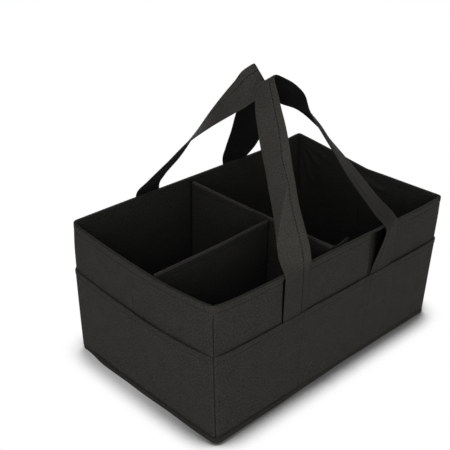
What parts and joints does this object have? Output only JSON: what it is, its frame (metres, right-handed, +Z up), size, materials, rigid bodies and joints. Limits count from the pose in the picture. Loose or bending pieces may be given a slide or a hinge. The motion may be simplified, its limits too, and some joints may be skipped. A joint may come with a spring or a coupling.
{
  "type": "diaper caddy",
  "caption": "Open rectangular fabric caddy with stiffened walls, outer pockets, twin carrying straps and a removable T-shaped divider.",
  "frame": {"origin": "middle of the underside", "axes": "+Z up, +X along the long side, front long wall facing -Y"},
  "size_m": [0.4009, 0.2449, 0.3657],
  "materials": {
    "outer_fabric": "matt nonwoven",
    "lining_fabric": "matt nonwoven",
    "strap_fabric": "matt nonwoven",
    "binding_fabric": "matt tape",
    "hook_and_loop": "hook-and-loop pile",
    "grey_board": "raw grey pulp board"
  },
  "bodies": {
    "caddy": {"base_panel": "outer_fabric", "base_board": "grey_board", "floor_lining": "lining_fabric", "front_wall_cover": "outer_fabric", "front_wall_board": "grey_board", "rear_wall_cover": "outer_fabric", "rear_wall_board": "grey_board", "left_wall_cover": "outer_fabric", "left_wall_front_board": "grey_board", "left_wall_rear_board": "grey_board", "right_wall_cover": "outer_fabric", "right_wall_front_board": "grey_board", "right_wall_rear_board": "grey_board", "front_pocket": "outer_fabric", "rear_pocket": "outer_fabric", "left_pocket": "outer_fabric", "right_pocket": "outer_fabric", "bottom_binding": "binding_fabric", "front_left_strap_end": "strap_fabric", "front_right_strap_end": "strap_fabric", "rear_left_strap_end": "strap_fabric", "rear_right_strap_end": "strap_fabric", "front_wall_loop_tape": "hook_and_loop", "rear_wall_loop_tape": "hook_and_loop", "left_wall_loop_tape": "hook_and_loop"},
    "front_handle": {"front_handle_loop": "strap_fabric"},
    "rear_handle": {"rear_handle_loop": "strap_fabric"},
    "insert": {"cross_divider_cover": "lining_fabric", "cross_divider_board": "grey_board", "cross_front_flap": "lining_fabric", "cross_rear_flap": "lining_fabric", "cross_front_hook_tape": "hook_and_loop", "cross_rear_hook_tape": "hook_and_loop", "divider_junction_flap": "lining_fabric"},
    "long_divider": {"long_divider_cover": "lining_fabric", "long_divider_board": "grey_board", "long_divider_flap": "lining_fabric", "long_divider_hook_tape": "hook_and_loop"}
  },
  "joints": [
    {"name": "front_handle_swing", "type": "hinge", "parent": "caddy", "child": "front_handle", "pos_m": [0, -0.12205, 0.181], "axis": [1, 0, 0], "range_deg": [0, 175]},
    {"name": "rear_handle_swing", "type": "hinge", "parent": "caddy", "child": "rear_handle", "pos_m": [0, 0.12205, 0.181], "axis": [-1, 0, 0], "range_deg": [0, 175]},
    {"name": "insert_lift", "type": "slide", "parent": "caddy", "child": "insert", "axis": [0, 0, 1], "range_m": [0, 0.11]},
    {"name": "long_divider_swing", "type": "hinge", "parent": "insert", "child": "long_divider", "pos_m": [-0.0159, -0.0194, 0.09], "axis": [0, 0, -1], "range_deg": [0, 40]}
  ]
}
